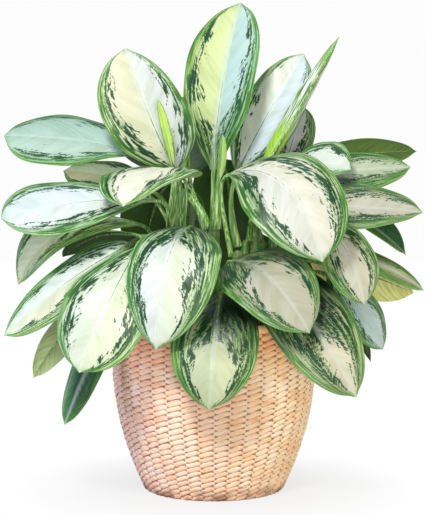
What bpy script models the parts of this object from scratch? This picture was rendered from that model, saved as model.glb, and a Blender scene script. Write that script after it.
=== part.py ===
"""Potted Chinese evergreen standing in a twined basket, in metres, +Z up.

The origin is the centre of the basket's underside, and the front of the plant faces -Y.
Inside the basket a saucer carries a grow pot of potting mix. Seven canes root in the mix,
and each leaf is one piece: a petiole that leaves its cane and flattens into the blade.
"""

import math
from collections import namedtuple

import bmesh
import bpy
from mathutils import Vector

MM = 0.001
GAP = 0.0004  # clearance between pieces that touch

# Basket
BASE_R = 0.105
BELLY_R = 0.1535
BELLY_Z = 0.195
RIM_R = 0.147
RIM_Z = 0.258
WALL = 0.008
BASE_T = 0.009
RIM_TUBE_R = 0.0075
WALL_RINGS = 6
TURN_STEPS = 32

# Grow pot, its saucer and the potting mix
SAUCER_R = 0.092
SAUCER_H = 0.022
SAUCER_WALL = 0.002
POT_FOOT_R = 0.080
POT_LIP_R = 0.128
POT_H = 0.225
POT_WALL = 0.002
POT_LIP_H = 0.012
LIP_OVERHANG = 0.006  # how far the pot's lip stands out past its tapered wall
SAUCER_TAPER = 0.006
SOIL_DROP = 0.020

# Canes and petioles
CANE_SIDES = 8
CANE_RINGS = 5
CANE_DEPTH = 0.050
CANE_TAPER = 0.6
PETIOLE_R = 0.0034
SHEATH_R = 0.0050
SHEATH_SHARE = 0.6  # of the petiole's length
PETIOLE_STATIONS = 4
SPLAY = 0.25  # how far a petiole leans out as it leaves its cane, against its rise
RISE = 0.45  # how far along a petiole's chord it keeps that direction
SWEEP = 0.30  # how far before the blade it turns into the midrib's direction

# A blade that is widest at WIDEST, as (share of its length, share of its half width)
OUTLINE = (
    (0.00, 0.08), (0.04, 0.36), (0.12, 0.66), (0.24, 0.91), (0.40, 1.00), (0.56, 0.98),
    (0.72, 0.85), (0.85, 0.62), (0.93, 0.37), (0.975, 0.12), (1.00, 0.00),
)
WIDEST = 0.45
# Where a blade's rings stand, as shares of its length
BLADE_STATIONS = (0.0, 0.04, 0.12, 0.20, 0.28, 0.36, 0.44, 0.52, 0.60, 0.68, 0.75, 0.82, 0.88, 0.93, 0.975)
BLADE_T = 0.0011
BLADE_THINS = 0.5  # the share of its thickness that a blade loses by its tip
RIB_T = 0.0026
RIB_THINS = 0.75
TIP_R = 0.0006
RIB_NEAR = 0.30  # where along the chord the midrib's two control points stand
RIB_FAR = 0.68
CURL_STEPS = 4

Cane = namedtuple("Cane", "foot top height radius")
Leaf = namedtuple("Leaf", "cane node join tip width arch face fold curl sway full skew lean")


def leaf(cane, node, join, tip, width, arch, face, fold=12, curl=30, sway=0.0, full=0.5, skew=0.0,
         lean=0.0):
    """One row of the leaf table, with its lengths in millimetres.

    node is the height where the petiole leaves the cane, and join and tip are the blade's two ends. arch and
    sway bow the midrib up and sideways, as shares of the blade's chord. face is the way the upper side looks.
    fold lifts the two halves from the midrib and curl bends their margins down again, in degrees. The blade
    is widest at full, a share of its length. skew moves that towards the tip on the left half and back on the
    right, and lean makes the left half wider than the right, both as shares.
    """
    return Leaf("cane_" + cane, node * MM, Vector(join) * MM, Vector(tip) * MM, width * MM, arch,
                Vector(face), fold, curl, sway, full, skew, lean)


CANES = {
    "cane_a": Cane((-0.050, 0.000), (-0.062, 0.000), 0.37, 0.0080),
    "cane_b": Cane((-0.025, -0.045), (-0.035, -0.058), 0.36, 0.0075),
    "cane_c": Cane((0.030, -0.045), (0.035, -0.060), 0.36, 0.0080),
    "cane_d": Cane((0.058, -0.005), (0.075, -0.008), 0.37, 0.0080),
    "cane_e": Cane((0.000, 0.005), (0.000, 0.008), 0.40, 0.0090),
    "cane_f": Cane((0.040, 0.050), (0.050, 0.068), 0.37, 0.0075),
    "cane_g": Cane((-0.035, 0.050), (-0.045, 0.070), 0.37, 0.0075),
}

LEAVES = {
    # left side
    "leaf_a1_low": leaf("a", 275, (-110, -25, 397), (-287, -50, 309), 100, 0.28, (-0.3, -0.65, 0.7),
        full=0.62, skew=-0.12, lean=-0.35),
    "leaf_a2_left": leaf("a", 300, (-85, -55, 433), (-298, -145, 409), 105, 0.06, (0, -0.7, 0.7), 8, 20,
        full=0.68),
    "leaf_a3_upper": leaf("a", 350, (-80, 24, 491), (-310, -28, 528), 134, 0.055, (0.1, -0.6, 0.8), 8, 24,
        full=0.63, skew=0.12, lean=-0.06),
    "leaf_a4_behind": leaf("a", 325, (-95, 70, 445), (-235, 90, 477), 92, 0.06, (0.1, -0.6, 0.8)),
    "leaf_a5_top": leaf("a", 360, (-58, 6, 478), (-130, -35, 656), 128, 0.06, (0.1, -0.9, 0.3), sway=-0.04,
        full=0.47, skew=0.1, lean=0.05),
    "leaf_a6_pale": leaf("a", 245, (-150, 30, 300), (-275, 20, 162), 64, 0.1, (-0.5, 0.7, 0.3)),
    "leaf_a8_spear": leaf("a", 365, (-60, -34, 480), (-82, -56, 580), 18, 0.03, (0.2, -0.9, 0.2), 50),
    # front left
    "leaf_b1_low": leaf("b", 270, (-120, -75, 370), (-294, -150, 245), 76, 0.07, (-0.2, -0.8, 0.6),
        full=0.48, skew=0.12, lean=0.05),
    "leaf_b2_front": leaf("b", 300, (-105, -110, 370), (-184, -200, 200), 128, 0.1, (-0.1, -0.8, 0.5),
        sway=-0.01, full=0.6),
    "leaf_b3_front": leaf("b", 320, (-34, -88, 396), (-79, -205, 232), 128, 0.3, (-0.1, -0.75, 0.65),
        full=0.52, lean=0.14),
    "leaf_b4_curl": leaf("b", 350, (-45, -50, 466), (-124, -190, 426), 130, 0.18, (-0.2, -0.42, 0.88),
        full=0.48, skew=-0.08, lean=-0.12),
    "leaf_b5_hang": leaf("b", 250, (-137, -62, 292), (-217, -85, 108), 52, 0.03, (-0.3, -0.8, 0.3)),
    # front right
    "leaf_c1_low": leaf("c", 260, (10, -112, 302), (-7, -195, 148), 122, 0.26, (0, -0.85, 0.5), full=0.54),
    "leaf_c2_right": leaf("c", 290, (22, -90, 346), (130, -200, 254), 126, 0.22, (-0.1, -0.6, 0.8)),
    "leaf_c3_low": leaf("c", 270, (78, -103, 334), (197, -173, 162), 118, 0.12, (0, -0.8, 0.5), full=0.45),
    "leaf_c4_upper": leaf("c", 350, (20, -42, 470), (149, -175, 350), 140, 0.24, (-0.1, -0.6, 0.8),
        sway=-0.08, full=0.6),
    # right side
    "leaf_d1_right": leaf("d", 290, (155, -80, 405), (213, -120, 286), 96, 0.14, (0.3, -0.7, 0.6)),
    "leaf_d2_right": leaf("d", 330, (115, -22, 415), (306, -50, 415), 98, 0.05, (0, -0.7, 0.7), full=0.38,
        skew=0.08, lean=0.1),
    "leaf_d3_low": leaf("d", 270, (150, 0, 362), (317, 10, 296), 44, 0.1, (0.2, -0.7, 0.65)),
    "leaf_d4_hang": leaf("d", 240, (170, -10, 320), (252, -20, 210), 80, 0.1, (0.4, -0.7, 0.5)),
    "leaf_d5_behind": leaf("d", 305, (165, 70, 430), (298, 75, 347), 72, 0.08, (0.3, -0.6, 0.7), lean=0.6),
    "leaf_d6_small": leaf("d", 360, (110, 15, 485), (202, -30, 478), 74, 0.1, (0, -0.8, 0.6), skew=0.1,
        lean=0.3),
    "leaf_f9_yellow": leaf("f", 265, (150, 68, 338), (311, 75, 287), 88, 0.06, (0.2, 0.7, 0.5), lean=0.1),
    "leaf_f10_tip": leaf("f", 240, (152, 108, 306), (246, 88, 178), 66, 0.12, (0.6, 0.3, 0.7)),
    # crown
    "leaf_e1_crown": leaf("e", 380, (-1, 30, 478), (41, 60, 734), 130, 0.05, (-0.5, -0.8, 0.2), 20,
        full=0.57, lean=0.08),
    "leaf_e5_spear": leaf("e", 390, (7, -15, 462), (13, -15, 530), 16, 0.03, (0.4, -0.9, 0.1), 50),
    "leaf_f1_top": leaf("f", 360, (36, 62, 474), (139, 80, 658), 98, 0.05, (-0.2, -0.9, 0.3), lean=-0.04),
    "leaf_f2_spear": leaf("f", 370, (78, 10, 484), (188, 20, 678), 30, 0.04, (-0.5, 0.8, 0.1), 40,
        sway=-0.03, full=0.33),
    "leaf_f3_back": leaf("f", 350, (108, 108, 471), (142, 140, 581), 66, 0.05, (0, -0.9, 0.3), full=0.54),
    "leaf_f4_right": leaf("f", 325, (105, 66, 480), (313, 70, 507), 75, 0.05, (0.1, 0.6, 0.7)),
    "leaf_f5_right": leaf("f", 300, (110, 35, 455), (298, 25, 482), 85, 0.05, (0, -0.7, 0.7)),
    # back
    "leaf_a7_back": leaf("a", 285, (-125, 60, 380), (-238, 100, 342), 80, 0.12, (-0.4, 0.3, 0.8)),
    "leaf_e2_back": leaf("e", 345, (-38, 85, 470), (-48, 190, 600), 110, 0.08, (0, 0.8, 0.5)),
    "leaf_e3_back": leaf("e", 325, (12, 122, 496), (34, 228, 338), 118, 0.24, (0, 0.5, 0.85)),
    "leaf_e4_low": leaf("e", 300, (-6, 152, 390), (0, 250, 258), 120, 0.12, (0, 0.8, 0.6)),
    "leaf_e6_rise": leaf("e", 388, (-84, 82, 480), (-150, 125, 612), 88, 0.08, (-0.2, 0.8, 0.4)),
    "leaf_f6_back": leaf("f", 305, (94, 152, 430), (156, 238, 314), 110, 0.18, (0.2, 0.5, 0.85)),
    "leaf_f7_low": leaf("f", 285, (122, 112, 370), (215, 190, 260), 110, 0.14, (0.5, 0.6, 0.6)),
    "leaf_f8_hang": leaf("f", 250, (76, 152, 376), (86, 222, 190), 102, 0.18, (0.3, 0.9, 0.3)),
    "leaf_g1_left": leaf("g", 340, (-110, 95, 445), (-245, 175, 420), 100, 0.14, (-0.2, 0.3, 0.9)),
    "leaf_g2_back": leaf("g", 330, (-64, 130, 464), (-117, 240, 324), 114, 0.2, (-0.1, 0.5, 0.85)),
    "leaf_g3_low": leaf("g", 290, (-115, 115, 375), (-200, 205, 262), 112, 0.15, (-0.4, 0.7, 0.6)),
    "leaf_g4_hang": leaf("g", 260, (-66, 158, 330), (-95, 215, 180), 108, 0.16, (-0.3, 0.9, 0.3)),
    "leaf_g5_spear": leaf("g", 360, (-52, 60, 465), (-78, 75, 610), 45, 0.04, (0.5, -0.5, 0.3), 55),
    "leaf_g6_inner": leaf("g", 300, (-35, 148, 364), (-35, 176, 446), 44, 0.06, (0, -0.95, 0.3)),
}


def bezier(a, b, c, d, t):
    s = 1 - t
    return a * s**3 + b * (3 * s * s * t) + c * (3 * s * t * t) + d * t**3


def cane_axis(cane, z):
    """The cane's centre line at height z: it leans out a little as it rises."""
    t = (z - soil_z()) / (cane.height - soil_z())
    foot = Vector((*cane.foot, 0))
    top = Vector((*cane.top, 0))
    point = foot.lerp(top, t * abs(t))
    point.z = z
    return point


def soil_z():
    return BASE_T + GAP + SAUCER_WALL + GAP + POT_H - SOIL_DROP


def midrib(row):
    """Control points of the blade's centre line, from join to tip, and its upper side's direction."""
    chord = row.tip - row.join
    along = chord.normalized()
    up = (row.face - along * row.face.dot(along)).normalized()
    side = along.cross(up)
    bow = (up * row.arch + side * row.sway) * (chord.length * 4 / 3)
    near = row.join + chord * RIB_NEAR + bow
    far = row.join + chord * RIB_FAR + bow
    return (row.join, near, far, row.tip), up


def petiole(row):
    """Control points of the petiole, from the cane's surface to the blade."""
    cane = CANES[row.cane]
    start = cane_axis(cane, row.node)
    out = Vector((row.join.x - start.x, row.join.y - start.y, 0)).normalized()
    start += out * (cane.radius + SHEATH_R + GAP)
    ribs, _ = midrib(row)
    leave = (ribs[1] - ribs[0]).normalized()
    reach = (row.join - start).length
    rise = (Vector((0, 0, 1)) + out * SPLAY).normalized()
    return start, start + rise * (reach * RISE), row.join - leave * (reach * SWEEP), row.join


def spread(share, full):
    """The half width at a share of the blade's length, as a share of the widest, which is at full."""
    share = share ** (math.log(WIDEST) / math.log(full))
    i = max(k for k in range(len(OUTLINE) - 1) if OUTLINE[k][0] <= share)

    def slope(k):
        a, b = OUTLINE[max(k - 1, 0)], OUTLINE[min(k + 1, len(OUTLINE) - 1)]
        return (b[1] - a[1]) / (b[0] - a[0])

    (near, here), (far, there) = OUTLINE[i], OUTLINE[i + 1]
    step = far - near
    t = (share - near) / step
    return ((2 * t**3 - 3 * t * t + 1) * here + (t**3 - 2 * t * t + t) * step * slope(i)
            + (3 * t * t - 2 * t**3) * there + (t**3 - t * t) * step * slope(i + 1))


def half_widths(row, share):
    """The widths of the blade's left and right halves at a share of its length."""
    left = row.width / 2 * (1 + row.lean) * spread(share, row.full + row.skew)
    right = row.width / 2 * (1 - row.lean) * spread(share, row.full - row.skew)
    return max(left, PETIOLE_R), max(right, PETIOLE_R)


def leaf_rings(row):
    """(point, section) of each ring of the leaf, from cane to tip, and the way its upper side looks."""
    stalk = petiole(row)
    ribs, up = midrib(row)
    rings = []
    for i in range(PETIOLE_STATIONS):
        t = i / PETIOLE_STATIONS
        radius = SHEATH_R + (PETIOLE_R - SHEATH_R) * min(1.0, t / SHEATH_SHARE)
        rings.append((bezier(*stalk, t), stalk_section(radius)))
    for share in BLADE_STATIONS:
        rings.append((bezier(*ribs, share), blade_section(row, share)))
    rings.append((row.tip, stalk_section(TIP_R)))
    return rings, up


def frames(points, up, start):
    """(tangent, upper side, sideways) at each point, turned as little as can be from the ring at start.

    The ring at start looks along the curve that follows it.
    """
    tangents = []
    for i, point in enumerate(points):
        before = points[max(i - 1, 0)]
        after = points[min(i + 1, len(points) - 1)]
        tangents.append((after - before).normalized())
    tangents[start] = (points[start + 1] - points[start]).normalized()
    normals = [None] * len(points)
    first = tangents[start]
    normals[start] = (up - first * up.dot(first)).normalized()
    for step in (1, -1):
        i = start
        while 0 <= i + step < len(points):
            turn = tangents[i].rotation_difference(tangents[i + step])
            normals[i + step] = turn @ normals[i]
            i += step
    return [(t, n, t.cross(n)) for t, n in zip(tangents, normals)]


def stalk_section(radius):
    """Eight (sideways, up) offsets round a petiole, starting at its left side and passing over its top."""
    return [(-radius * math.cos(math.pi * i / 4), radius * math.sin(math.pi * i / 4)) for i in range(8)]


def half_blade(row, half, u):
    """(sideways, up) of the point at a share u of a half width: the half lifts by fold, then curls down."""
    across = lift = 0.0
    for i in range(CURL_STEPS):
        slope = math.radians(row.fold - row.curl * u * (i + 0.5) / CURL_STEPS)
        across += half * u / CURL_STEPS * math.cos(slope)
        lift += half * u / CURL_STEPS * math.sin(slope)
    return across, lift


def blade_section(row, share):
    """Eight (sideways, up) offsets round a blade: left margin, top to the right margin, and back below."""
    thin = BLADE_T * (1 - BLADE_THINS * share)
    rib = RIB_T * (1 - RIB_THINS * share)
    left, right = half_widths(row, share)
    (lx, ly), (lmx, lmy) = half_blade(row, left, 1.0), half_blade(row, left, 0.5)
    (rx, ry), (rmx, rmy) = half_blade(row, right, 1.0), half_blade(row, right, 0.5)
    return [
        (-lx, ly), (-lmx, lmy + thin / 2), (0, thin / 2), (rmx, rmy + thin / 2),
        (rx, ry), (rmx, rmy - thin / 2), (0, -rib), (-lmx, lmy - thin / 2),
    ]


def leaf_mesh(bm, row):
    rings, up = leaf_rings(row)
    turned = frames([point for point, _ in rings], up, PETIOLE_STATIONS)
    loops = []
    for (point, section), (_, normal, side) in zip(rings, turned):
        loops.append([bm.verts.new(point + side * x + normal * y) for x, y in section])
    for below, above in zip(loops, loops[1:]):
        for i in range(8):
            bm.faces.new((below[i], below[(i + 1) % 8], above[(i + 1) % 8], above[i]))
    bm.faces.new(loops[0])
    bm.faces.new(reversed(loops[-1]))


def cane_mesh(bm, cane):
    bottom = soil_z() - CANE_DEPTH
    heights = [bottom + (cane.height - bottom) * i / CANE_RINGS for i in range(CANE_RINGS + 1)]
    points = [cane_axis(cane, z) for z in heights]
    turned = frames(points, Vector((0, -1, 0)), 0)
    loops = []
    for i, (point, (_, normal, side)) in enumerate(zip(points, turned)):
        radius = cane.radius * (CANE_TAPER if i == CANE_RINGS else 1)
        loops.append([
            bm.verts.new(point + (side * math.cos(a) + normal * math.sin(a)) * radius)
            for a in (2 * math.pi * k / CANE_SIDES for k in range(CANE_SIDES))
        ])
    for below, above in zip(loops, loops[1:]):
        for i in range(CANE_SIDES):
            j = (i + 1) % CANE_SIDES
            bm.faces.new((below[i], below[j], above[j], above[i]))
    bm.faces.new(loops[0])
    bm.faces.new(loops[-1])


def turned_mesh(bm, profile, closed=True):
    """Spins a profile of (radius, height) points round Z. An open one starts and ends on the axis."""
    verts = [bm.verts.new((r, 0, z)) for r, z in profile]
    pairs = list(zip(verts, verts[1:]))
    if closed:
        pairs.append((verts[-1], verts[0]))
    edges = [bm.edges.new(pair) for pair in pairs]
    bmesh.ops.spin(bm, geom=verts + edges, cent=(0, 0, 0), axis=(0, 0, 1), angle=2 * math.pi,
                   steps=TURN_STEPS, use_merge=True, dvec=(0, 0, 0))
    bmesh.ops.remove_doubles(bm, verts=bm.verts, dist=0.00001)


def wall_r(z):
    """The basket's outer radius at height z: it swells from the base to the belly and draws in to the rim."""
    if z < BELLY_Z:
        return BASE_R + (BELLY_R - BASE_R) * (1 - (1 - z / BELLY_Z) ** 2)
    return BELLY_R - (BELLY_R - RIM_R) * ((z - BELLY_Z) / (RIM_Z - BELLY_Z)) ** 2


def basket_wall(bm):
    high = RIM_Z - 2 * RIM_TUBE_R - GAP
    heights = [high * i / WALL_RINGS for i in range(WALL_RINGS + 1)]
    outer = [(wall_r(z), z) for z in heights]
    inner = [(wall_r(z) - WALL, z) for z in reversed(heights)]
    turned_mesh(bm, outer + inner)


def basket_base(bm):
    radius = wall_r(0) - WALL - GAP
    turned_mesh(bm, [(0, 0), (radius, 0), (radius, BASE_T), (0, BASE_T)], closed=False)


def basket_rim(bm):
    centre_z = RIM_Z - RIM_TUBE_R
    centre_r = wall_r(RIM_Z) - WALL / 2
    turned_mesh(bm, [
        (centre_r + RIM_TUBE_R * math.cos(a), centre_z + RIM_TUBE_R * math.sin(a))
        for a in (2 * math.pi * (k + 0.5) / 8 for k in range(8))
    ])


def saucer(bm):
    z = BASE_T + GAP
    foot_r = SAUCER_R - SAUCER_TAPER
    turned_mesh(bm, [
        (0, z), (foot_r, z), (SAUCER_R, z + SAUCER_H), (SAUCER_R - SAUCER_WALL, z + SAUCER_H),
        (foot_r - SAUCER_WALL, z + SAUCER_WALL), (0, z + SAUCER_WALL),
    ], closed=False)


def pot_z():
    return BASE_T + GAP + SAUCER_WALL + GAP


def pot_r(height):
    return POT_FOOT_R + (POT_LIP_R - LIP_OVERHANG - POT_FOOT_R) * height / POT_H


def grow_pot(bm):
    z, top = pot_z(), pot_z() + POT_H
    under_lip = top - POT_LIP_H
    turned_mesh(bm, [
        (0, z), (POT_FOOT_R, z), (pot_r(POT_H - POT_LIP_H), under_lip), (POT_LIP_R, under_lip),
        (POT_LIP_R, top), (pot_r(POT_H) - POT_WALL, top), (POT_FOOT_R - POT_WALL, z + POT_WALL),
        (0, z + POT_WALL),
    ], closed=False)


def potting_mix(bm):
    low, high = pot_z() + POT_WALL + GAP, soil_z()
    low_r = pot_r(low - pot_z()) - POT_WALL - GAP * 2
    high_r = pot_r(high - pot_z()) - POT_WALL - GAP * 2
    turned_mesh(bm, [(0, low), (low_r, low), (high_r, high), (0, high)], closed=False)


def material(name, colour, roughness):
    made = bpy.data.materials.new(name)
    made.use_nodes = True
    shader = made.node_tree.nodes["Principled BSDF"]
    shader.inputs["Base Color"].default_value = (*colour, 1)
    shader.inputs["Roughness"].default_value = roughness
    return made


def add(name, made_of, build, *args):
    bm = bmesh.new()
    build(bm, *args)
    bmesh.ops.recalc_face_normals(bm, faces=bm.faces)
    mesh = bpy.data.meshes.new(name)
    bm.to_mesh(mesh)
    bm.free()
    mesh.shade_smooth()
    mesh.set_sharp_from_angle(angle=math.radians(40))
    mesh.materials.append(made_of)
    obj = bpy.data.objects.new(name, mesh)
    bpy.context.collection.objects.link(obj)
    return obj


def cut_sockets(mix):
    """A socket in the potting mix for each cane's buried foot."""
    for name, cane in CANES.items():
        wide = cane._replace(radius=cane.radius + GAP)
        cutter = add(name + "_socket", None, cane_mesh, wide)
        cutter.location.z = -GAP
        cutter.hide_render = True
        cutter.display_type = "WIRE"
        cut = mix.modifiers.new(name, "BOOLEAN")
        cut.object = cutter
        cut.solver = "EXACT"


for old in list(bpy.data.objects):
    bpy.data.objects.remove(old)

STRAW = material("water_hyacinth", (0.72, 0.50, 0.33), 0.75)
BLACK = material("black_polypropylene", (0.03, 0.03, 0.03), 0.45)
PEAT = material("potting_mix", (0.06, 0.04, 0.025), 0.95)
CANE = material("green_cane", (0.22, 0.36, 0.12), 0.5)
BLADE = material("silver_green_leaf", (0.55, 0.68, 0.45), 0.4)

add("basket_wall", STRAW, basket_wall)
add("basket_base", STRAW, basket_base)
add("basket_rim", STRAW, basket_rim)
add("saucer", BLACK, saucer)
add("grow_pot", BLACK, grow_pot)
cut_sockets(add("potting_mix", PEAT, potting_mix))
for name, cane in CANES.items():
    add(name, CANE, cane_mesh, cane)
for name, row in LEAVES.items():
    add(name, BLADE, leaf_mesh, row)
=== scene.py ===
import math
from collections import namedtuple

import bmesh
import bpy
from mathutils import Matrix, Vector, noise


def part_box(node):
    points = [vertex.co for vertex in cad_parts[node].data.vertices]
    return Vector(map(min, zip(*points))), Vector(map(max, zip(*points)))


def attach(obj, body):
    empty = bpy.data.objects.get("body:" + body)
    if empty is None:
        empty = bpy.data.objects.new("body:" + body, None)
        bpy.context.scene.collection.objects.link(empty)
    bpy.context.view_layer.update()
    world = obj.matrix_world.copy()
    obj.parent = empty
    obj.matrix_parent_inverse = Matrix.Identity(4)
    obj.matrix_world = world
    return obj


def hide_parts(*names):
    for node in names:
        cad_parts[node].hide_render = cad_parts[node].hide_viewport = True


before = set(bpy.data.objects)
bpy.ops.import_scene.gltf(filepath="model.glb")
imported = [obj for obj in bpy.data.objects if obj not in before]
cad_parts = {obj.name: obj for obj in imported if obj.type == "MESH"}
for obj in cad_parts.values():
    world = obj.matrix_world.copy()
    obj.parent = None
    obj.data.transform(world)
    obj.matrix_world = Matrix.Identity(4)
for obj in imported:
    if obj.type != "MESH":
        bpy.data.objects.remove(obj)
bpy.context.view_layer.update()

MM = 0.001


# The studio. The basket stands on a wide white floor that runs on into a white surround. The main lamp hangs
# high at the front left, a wide one fills from the front, one hangs above and a low one lights each side.
FLOOR_R = 6.0
FLOOR_SIDES = 96
SHADED_R = 0.11  # out to here the floor shows the basket's shadow
WHITE_R = 0.30  # from here on it is plain white
LEAST_WHITE = 0.78  # the share of plain white within it
CAMERA_AT = (-0.0022, -2.1, 0.46)
CAMERA_TILT = 86.91
LENS_MM = 97.9
LAMPS_AIM = (0, 0, 0.3)
LAMPS = {
    # name: place, size in metres, watts, colour
    "key_lamp": ((-0.45, -1.7, 1.9), 0.45, 44, "#fdfbf8"),
    "fill_lamp": ((0.2, -2.6, 0.45), 0.8, 29, "#fdf9f4"),
    "top_lamp": ((0.1, 0.3, 2.2), 1.2, 9, "#f4f6ff"),
    "left_lamp": ((-2.0, -0.2, 0.5), 0.9, 19, "#dce2ff"),
    "right_lamp": ((2.0, -0.1, 0.5), 0.9, 16, "#fff4e8"),
}


def linear(code):
    """The linear colour of an sRGB hex value."""
    parts = [int(code[i:i + 2], 16) / 255 for i in (1, 3, 5)]
    return (*[c / 12.92 if c <= 0.04045 else ((c + 0.055) / 1.055) ** 2.4 for c in parts], 1.0)


def put(tree, kind, feeds=None, stops=(), **settings):
    """Adds a node with its settings and links, and returns its outputs.

    feeds gives an input its value, its hex colour, or the output that feeds it. stops are a colour ramp's
    places and colours.
    """
    made = tree.nodes.new("ShaderNode" + kind)
    for name, value in settings.items():
        setattr(made, name, value)
    for i, (place, code) in enumerate(stops):
        ramp = made.color_ramp.elements
        stop = ramp[i] if i < 2 else ramp.new(place)
        stop.position = place
        stop.color = linear(code)
    for name, value in (feeds or {}).items():
        if isinstance(value, bpy.types.NodeSocket):
            tree.links.new(value, made.inputs[name])
        else:
            made.inputs[name].default_value = linear(value) if isinstance(value, str) else value
    return made.outputs


def finish(name, roughness, code=None):
    """A new material, its node tree and its shader. code is its colour where it has only one."""
    made = bpy.data.materials.new(name)
    made.use_nodes = True
    shader = made.node_tree.nodes["Principled BSDF"]
    shader.inputs["Roughness"].default_value = roughness
    if code:
        shader.inputs["Base Color"].default_value = linear(code)
    return made, made.node_tree, shader


# Matt white board, which stays white to the camera and still takes the basket's shadow.
white_board, tree, shader = finish("matt_white_board", 0.9, "#c4c4c4")
rays = put(tree, "LightPath")
glow = put(tree, "Emission", {"Color": "#ffffff", "Strength": 1.0})
place = put(tree, "TexCoord")
away = put(tree, "VectorMath", {0: place["Object"]}, operation="LENGTH")
fade = put(tree, "MapRange", {0: away["Value"], 1: SHADED_R, 2: WHITE_R, 3: LEAST_WHITE, 4: 1.0})
share = put(tree, "Math", {0: rays["Is Camera Ray"], 1: fade[0]}, operation="MULTIPLY")
board = put(tree, "MixShader", {0: share[0], 1: shader.outputs[0], 2: glow[0]})
tree.links.new(board[0], tree.nodes["Material Output"].inputs["Surface"])

bm = bmesh.new()
bmesh.ops.create_circle(bm, segments=FLOOR_SIDES, radius=FLOOR_R, cap_ends=True)
mesh = bpy.data.meshes.new("floor")
bm.to_mesh(mesh)
bm.free()
mesh.materials.append(white_board)
floor = bpy.data.objects.new("floor", mesh)
bpy.context.collection.objects.link(floor)

world = bpy.data.worlds.new("white_surround")
world.use_nodes = True
bpy.context.scene.world = world
tree = world.node_tree
rays = put(tree, "LightPath")
seen = put(tree, "Math", {0: rays["Is Camera Ray"], 1: rays["Is Transmission Ray"]}, operation="MAXIMUM")
soft = put(tree, "Background", {"Color": "#dfe9fb", "Strength": 0.05})
white = put(tree, "Background", {"Color": "#fdfdfd", "Strength": 1.0})
both = put(tree, "MixShader", {0: seen[0], 1: soft[0], 2: white[0]})
tree.links.new(both[0], tree.nodes["World Output"].inputs["Surface"])

for name, (place, size, watts, code) in LAMPS.items():
    lamp = bpy.data.lights.new(name, "AREA")
    lamp.shape = "DISK"
    lamp.size = size
    lamp.energy = watts
    lamp.color = linear(code)[:3]
    stand = bpy.data.objects.new(name, lamp)
    stand.location = place
    stand.rotation_euler = (Vector(place) - Vector(LAMPS_AIM)).to_track_quat("Z", "Y").to_euler()
    bpy.context.collection.objects.link(stand)

lens = bpy.data.cameras.new("camera")
lens.lens = LENS_MM
camera = bpy.data.objects.new("camera", lens)
camera.location = CAMERA_AT
camera.rotation_euler = (math.radians(CAMERA_TILT), 0, 0)
bpy.context.collection.objects.link(camera)
bpy.context.scene.camera = camera
bpy.context.scene.view_settings.view_transform = "Standard"


# Basket wall. Dried water hyacinth stems, flattened and twisted in pairs round upright stakes, row on row.
# Each pair shows as a chain of plump stitches that rise to the right and tuck in at the next stake.
_, wall_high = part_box("basket_wall")
rim_low, rim_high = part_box("basket_rim")
base_low, base_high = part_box("basket_base")
BASE_R = 105 * MM
BELLY_R = 153.5 * MM
BELLY_Z = 195 * MM
RIM_R = 147 * MM
RIM_Z = rim_high.z
WALL = 8 * MM
STAKES = 40
ROW_PITCH = 8.4 * MM
STEM_WIDE = 5.1 * MM  # half a stem's width
STEM_THICK = 2.3 * MM  # half its thickness
WEAVE_DEPTH = 1.0 * MM
WEAVE_RISE = 2.5 * MM
STEM_SIDES = 8
RINGS_A_STAKE = 5
TUCKED = 0.80  # a stem's width where it tucks in, as a share
SWELL = 0.20  # how much wider it is where it shows
PRESSED = 0.92  # its thickness under the next row, as a share
PLUMP = 0.25  # how far its face stands out past an ellipse
UNEVEN_WIDE = 0.24
UNEVEN_THICK = 0.25
UNEVEN_LIFT = 1.6 * MM
CREASE = 50  # degrees, past which an edge is sharp
WELD = 0.000001  # nearer points are made one
UNEVEN_SEED = 1795360470  # fixes how the weave and the loose chips fall, so that each run is the same

noise.seed_set(UNEVEN_SEED)


def wall_r(z):
    """The basket's outer radius at height z: it swells from the foot to the belly and draws in to the rim."""
    if z < BELLY_Z:
        return BASE_R + (BELLY_R - BASE_R) * (1 - (1 - z / BELLY_Z) ** 2)
    return BELLY_R - (BELLY_R - RIM_R) * ((z - BELLY_Z) / (RIM_Z - BELLY_Z)) ** 2


def roll(bm, rings, sides):
    """Rolls a grid into a tube and closes its ends.

    Each ring is (centre, sideways, outwards, half width, half depth).
    """
    last = len(rings) - 1
    old = set(bm.edges)
    grid = bmesh.ops.create_grid(bm, x_segments=sides, y_segments=last, size=1)["verts"]
    for vert in grid:
        turn = math.pi * (vert.co.x + 1)
        centre, across, out, wide, deep = rings[round((vert.co.y + 1) / 2 * last)]
        vert.co = centre + across * (wide * math.cos(turn)) + out * (deep * math.sin(turn))
    bmesh.ops.remove_doubles(bm, verts=grid, dist=WELD)
    ends = [edge for edge in bm.edges if edge not in old and edge.is_boundary]
    bmesh.ops.holes_fill(bm, edges=ends, sides=sides)


def carrying(*names):
    """An empty mesh, and a layer for each thing that its points carry for a pattern to read."""
    bm = bmesh.new()
    return bm, [bm.verts.layers.float_vector.new(name) for name in names]


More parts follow.
